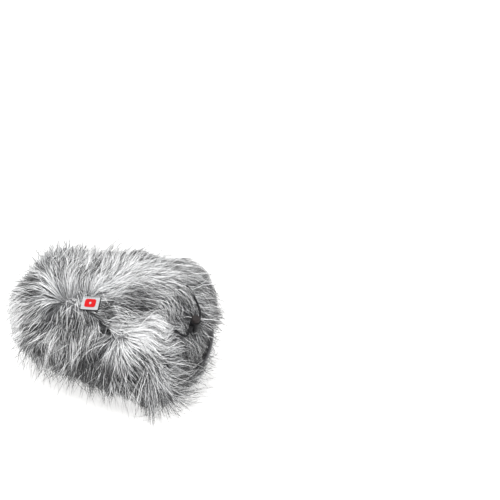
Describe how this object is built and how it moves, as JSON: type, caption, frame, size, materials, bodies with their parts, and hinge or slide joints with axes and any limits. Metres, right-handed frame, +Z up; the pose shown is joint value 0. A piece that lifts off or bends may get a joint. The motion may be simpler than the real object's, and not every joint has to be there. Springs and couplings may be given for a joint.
{
  "type": "furry windscreen",
  "caption": "Slip-on long-pile fur sleeve for a microphone blimp, closed at the front, with a slit flap and a gathered rear mouth held by a drawcord and cord lock.",
  "frame": {"origin": "on the surface the cover lies on, under the middle of the sleeve", "axes": "+X along the sleeve from the closed front end to the rear mouth, +Z up, -Y towards the side with the slit and the label"},
  "size_m": [0.2873, 0.204, 0.164],
  "materials": {
    "fur": "long grey and white faux fur pile with dark tips",
    "lining": "dark knitted backing cloth",
    "binding": "black woven seam tape",
    "hook_and_loop": "black hook and loop tape",
    "elastic_cord": "black braided elastic cord",
    "thread": "black sewing thread",
    "lock_plastic": "glossy black moulded plastic",
    "button_plastic": "satin dark brown-grey moulded plastic",
    "spring_steel": "drawn spring wire",
    "black_metal": "black enamelled metal",
    "label_rubber": "matt black rubber",
    "label_print": "pale grey satin plate",
    "label_red": "raised red enamel"
  },
  "bodies": {
    "cover": {"body_panel": "fur", "end_cap": "fur", "cap_seam_tape": "binding", "sleeve_seam_tape": "binding", "mouth_casing": "lining", "drawcord_run": "elastic_cord", "cord_anchor_stitch": "thread", "cord_eyelet": "black_metal", "drawcord_free": "elastic_cord", "stopper_knot": "elastic_cord", "cord_tip": "lock_plastic", "lip_edge_tape": "binding", "closure_tongue": "lining", "loop_tape": "hook_and_loop", "label_backing": "label_rubber", "label_face": "label_print", "label_emblem": "label_red", "label_stitches": "thread"},
    "flap": {"closure_flap": "fur", "flap_edge_tape": "binding", "hook_tape": "hook_and_loop"},
    "lock": {"lock_barrel": "lock_plastic", "lock_spring": "spring_steel"},
    "button": {"lock_button": "button_plastic"}
  },
  "joints": [
    {"name": "flap_fold", "type": "hinge", "parent": "cover", "child": "flap", "pos_m": [0.05523, -0.02128, 0.14625], "axis": [-0.766, -0.6428, 0], "range_deg": [0, 32]},
    {"name": "lock_slide", "type": "slide", "parent": "cover", "child": "lock", "axis": [-0.0949, 0.9685, 0.2301], "range_m": [-0.003, 0.003]},
    {"name": "button_press", "type": "slide", "parent": "lock", "child": "button", "axis": [-0.3373, 0.1862, -0.9228], "range_m": [0, 0.004], "stiffness_N_per_m": 500, "springref_m": -0.004, "deforming": ["lock_spring"]}
  ]
}
